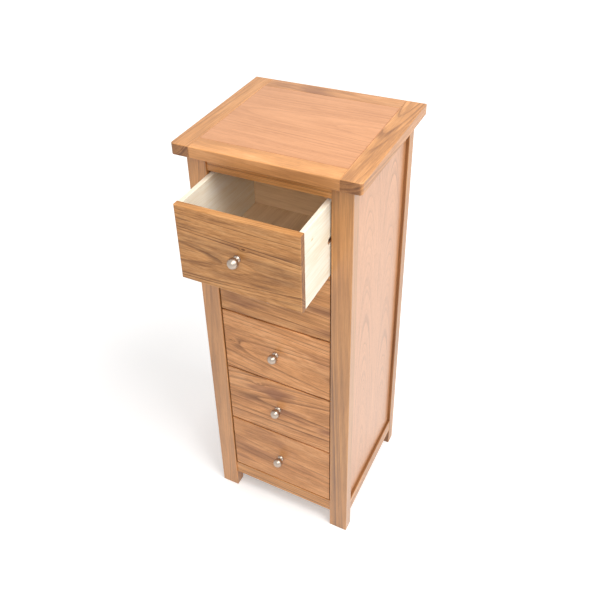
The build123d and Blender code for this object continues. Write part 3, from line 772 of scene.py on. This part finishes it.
# A sunk head's base is narrower than this share of its rim
SUNK_BASE = 0.8
# Parts of a screw's length from its middle: where its ends start, and where the head can't reach
END_PART = 0.3
SHANK_PART = 0.1
# Points this close along the screw lie on one ring, in mm
RING_PLAY = 0.05


def joined_points(start, done):
    """The places of all points that edges join to one, which are added to those that are done."""
    done.add(start)
    spreading, points = [start], []
    while spreading:
        vert = spreading.pop()
        points.append(vert.co.copy())
        fresh = [v for v in (edge.other_vert(vert) for edge in vert.link_edges) if v not in done]
        done.update(fresh)
        spreading.extend(fresh)
    return points


def screw_seats(node):
    """The seat under each screw's head in a solid, the way each head looks, and the sizes that they share."""
    solid = bmesh.new()
    solid.from_mesh(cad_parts[node].data)
    bmesh.ops.remove_doubles(solid, verts=solid.verts, dist=0.001 * MM)
    seats, ways, sizes, done = [], [], {}, set()
    for start in solid.verts:
        if start in done:
            continue

        # Each point's place along the screw and its distance from the screw's line
        points = joined_points(start, done)
        low, high = (Vector(pick(p[i] for p in points) for i in range(3)) for pick in (min, max))
        middle, span = (low + high) / 2, high - low
        reach = max(span)
        way = Vector(float(size == reach) for size in span)
        measured = []
        for point in points:
            along = (point - middle).dot(way)
            measured.append((along, (point - middle - way * along).length))

        # The head is at the wider end, and its base is the ring where it meets the shank
        widest = {sign: max(r for along, r in measured if along * sign > END_PART * reach)
                  for sign in (-1, 1)}
        sign = max(widest, key=widest.get)
        depths = [(reach / 2 - along * sign, r) for along, r in measured if along * sign > SHANK_PART * reach]
        tall = max(depth for depth, r in depths)
        base = max(r for depth, r in depths if tall - depth < RING_PLAY * MM)
        head = widest[sign]
        crown, rim = SUNK_HEAD if base < SUNK_BASE * head else ROUND_HEAD
        seats.append(middle + way * sign * (reach / 2 - tall))
        ways.append(way * sign)
        sizes = {"Head Radius": head, "Head Height": tall, "Base Radius": base, "Crown Radius": head * crown,
                 "Rim Height": tall * rim, "Shank Radius": widest[-sign], "Length": reach - tall}
    solid.free()
    return seats, ways, sizes


class CHEST_OT_screws(Operator):
    """Turn the plain screws of the runners, the top and the knobs into steel ones with crossed heads"""

    bl_idname = "chest.screws"
    bl_label = "Screws"

    def execute(self, context):
        settings = context.scene.chest_metal
        # Zinc plate over rolled steel: a cool pale grey, duller than the knobs
        steel = metal("zinc_plated_steel", settings.steel, 0.35)
        tree = screw_tree()
        bodies = {"runner_screws": "carcass", "top_screws": "carcass"}
        bodies.update({f"drawer_{number}_knob_screw": f"drawer_{number}" for number in DRAWERS})
        for seed, (node, body) in enumerate(bodies.items()):
            seats, ways, sizes = screw_seats(node)
            mesh = bpy.data.meshes.new(f"{node}_seats")
            mesh.from_pydata(seats, [], [])
            looks = mesh.attributes.new("direction", "FLOAT_VECTOR", "POINT")
            looks.data.foreach_set("vector", [value for way in ways for value in way])
            piece = bpy.data.objects.new(f"{node}_cross_heads", mesh)
            context.scene.collection.objects.link(piece)
            modifier = piece.modifiers.new("screws", "NODES")
            modifier.node_group = tree
            sizes.update({"Recess Length": sizes["Head Radius"] * settings.recess_length,
                          "Recess Width": sizes["Head Radius"] * settings.recess_width,
                          "Seed": seed, "Finish": steel})
            for item in tree.interface.items_tree:
                if item.name in sizes:
                    modifier[item.identifier] = sizes[item.name]
            depsgraph = context.evaluated_depsgraph_get()
            made = bpy.data.meshes.new_from_object(piece.evaluated_get(depsgraph))
            piece.modifiers.remove(modifier)
            piece.data = made
            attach(piece, body)
            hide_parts(node)
        return {"FINISHED"}


# In metres: half the floor's width, and how far it lies under the feet
FLOOR_REACH = 8.0
FLOOR_DROP = 0.2 * MM
# How far from the chest the floor's lift to white still grows, in metres, and the lift at shares of that
LIFT_REACH = 2.4
FLOOR_LIFT = ((0.08, 0.24), (0.17, 0.385), (0.3, 0.39), (1.0, 0.6))
# Each light's width and place in metres, and the point that both aim at
KEY_LIGHT = (1.8, (1.75, -0.55, 3.3))
FILL_LIGHT = (0.9, (0.45, -1.7, 2.2))
LIGHT_AIM = (0.0, 0.0, 0.7)


class CHEST_OT_stage(Operator):
    """Lay the pale floor, set the studio lights and place the camera"""

    bl_idname = "chest.stage"
    bl_label = "Stage"

    def execute(self, context):
        scene = context.scene
        stage = scene.chest_stage
        scene.view_settings.view_transform = "Standard"

        # Floor, which keeps the shadow and is lifted to white where the camera or a reflection sees it
        mesh = bpy.data.meshes.new("floor")
        corners = [Vector((x, y, 0)) * FLOOR_REACH for x, y in ((-1, -1), (1, -1), (1, 1), (-1, 1))]
        mesh.from_pydata(corners, [], [(0, 1, 2, 3)])
        floor = bpy.data.objects.new("floor", mesh)
        floor.location.z = -FLOOR_DROP
        scene.collection.objects.link(floor)
        material = bpy.data.materials.new("studio_floor")
        material.use_nodes = True
        tree = material.node_tree
        tree.nodes.clear()
        matt = add(tree, "ShaderNodeBsdfDiffuse", {"Color": stage.floor})
        place = add(tree, "ShaderNodeTexCoord").outputs["Object"]
        away = add(tree, "ShaderNodeVectorMath", {0: place}, operation="LENGTH").outputs["Value"]
        share = add(tree, "ShaderNodeMath", {0: away, 1: LIFT_REACH}, operation="DIVIDE")
        rise = add(tree, "ShaderNodeValToRGB", {"Fac": share}, stops=FLOOR_LIFT)
        glow = add(tree, "ShaderNodeMath", {0: self.seen(tree), 1: rise}, operation="MULTIPLY")
        lift = add(tree, "ShaderNodeEmission", {"Color": (1, 1, 1), "Strength": glow})
        both = add(tree, "ShaderNodeAddShader", {0: matt, 1: lift})
        add(tree, "ShaderNodeOutputMaterial", {"Surface": both})
        mesh.materials.append(material)

        # World: soft light from all round, and white where it is seen
        world = bpy.data.worlds.new("studio")
        scene.world = world
        world.use_nodes = True
        tree = world.node_tree
        tree.nodes.clear()
        level = add(tree, "ShaderNodeMapRange",
                    {"Value": self.seen(tree), "To Min": stage.ambient, "To Max": 1.0})
        sky = add(tree, "ShaderNodeBackground", {"Color": (1, 1, 1), "Strength": level})
        add(tree, "ShaderNodeOutputWorld", {"Surface": sky})

        # A large light high at the right, and a weaker one beside the camera for the open drawer
        for name, power, (width, place) in (("key", stage.key_power, KEY_LIGHT),
                                            ("fill", stage.fill_power, FILL_LIGHT)):
            lamp = bpy.data.lights.new(name, "AREA")
            lamp.energy = power
            lamp.size = width
            lamp_object = bpy.data.objects.new(name, lamp)
            turn = (Vector(LIGHT_AIM) - Vector(place)).to_track_quat("-Z", "Y").to_matrix().to_4x4()
            lamp_object.matrix_world = Matrix.Translation(place) @ turn
            scene.collection.objects.link(lamp_object)

        # Camera, fitted to the photograph; the photograph is a crop, so its middle is not on the lens axis
        camera = bpy.data.cameras.new("camera")
        camera.sensor_width = 36.0
        camera.lens = 44.268
        camera.shift_x = 0.07542
        camera.shift_y = -0.12574
        camera_object = bpy.data.objects.new("camera", camera)
        right = Vector((0.877058, 0.477465, -0.052884))
        up = Vector((-0.226308, 0.507776, 0.831233))
        back = Vector((0.423738, -0.717072, 0.553403))
        turn = Matrix((right, up, back)).transposed().to_4x4()
        camera_object.matrix_world = Matrix.Translation((0.66282, -1.3693, 1.88871)) @ turn
        scene.collection.objects.link(camera_object)
        scene.camera = camera_object
        return {"FINISHED"}

    @staticmethod
    def seen(tree):
        """1 for a ray of the camera, a reflection or glass, and 0 for light."""
        path = add(tree, "ShaderNodeLightPath").outputs
        shiny = add(tree, "ShaderNodeMath", {0: path["Is Camera Ray"], 1: path["Is Glossy Ray"]},
                    operation="MAXIMUM")
        return add(tree, "ShaderNodeMath", {0: shiny, 1: path["Is Transmission Ray"]}, operation="MAXIMUM")


SETTINGS = {
    "chest_oak": ChestOakSettings,
    "chest_veneer": ChestVeneerSettings,
    "chest_pine": ChestPineSettings,
    "chest_ply": ChestPlySettings,
    "chest_metal": ChestMetalSettings,
    "chest_stage": ChestStageSettings,
}
OPERATORS = (
    CHEST_OT_posts,
    CHEST_OT_rails,
    CHEST_OT_panels,
    CHEST_OT_top,
    CHEST_OT_drawer_fronts,
    CHEST_OT_drawer_boxes,
    CHEST_OT_runners,
    CHEST_OT_knobs,
    CHEST_OT_screws,
    CHEST_OT_stage,
)


class CHEST_PT_sidebar(Panel):
    """The chest's settings and steps"""

    bl_label = "Chest of Drawers"
    bl_idname = "CHEST_PT_sidebar"
    bl_space_type = "VIEW_3D"
    bl_region_type = "UI"
    bl_category = "Chest"

    def draw(self, context):
        for name, group in SETTINGS.items():
            box = self.layout.box()
            box.label(text=group.__doc__)
            for key in group.__annotations__:
                box.prop(getattr(context.scene, name), key)
        for operator in OPERATORS:
            self.layout.operator(operator.bl_idname)


def register():
    for name, group in SETTINGS.items():
        bpy.utils.register_class(group)
        setattr(bpy.types.Scene, name, PointerProperty(type=group))
    for operator in OPERATORS:
        bpy.utils.register_class(operator)
    bpy.utils.register_class(CHEST_PT_sidebar)


def unregister():
    bpy.utils.unregister_class(CHEST_PT_sidebar)
    for operator in reversed(OPERATORS):
        bpy.utils.unregister_class(operator)
    for name, group in SETTINGS.items():
        delattr(bpy.types.Scene, name)
        bpy.utils.unregister_class(group)


def main():
    register()
    for operator in OPERATORS:
        step = operator.bl_idname.split(".")[1]
        getattr(bpy.ops.chest, step)()


if __name__ == "__main__":
    main()
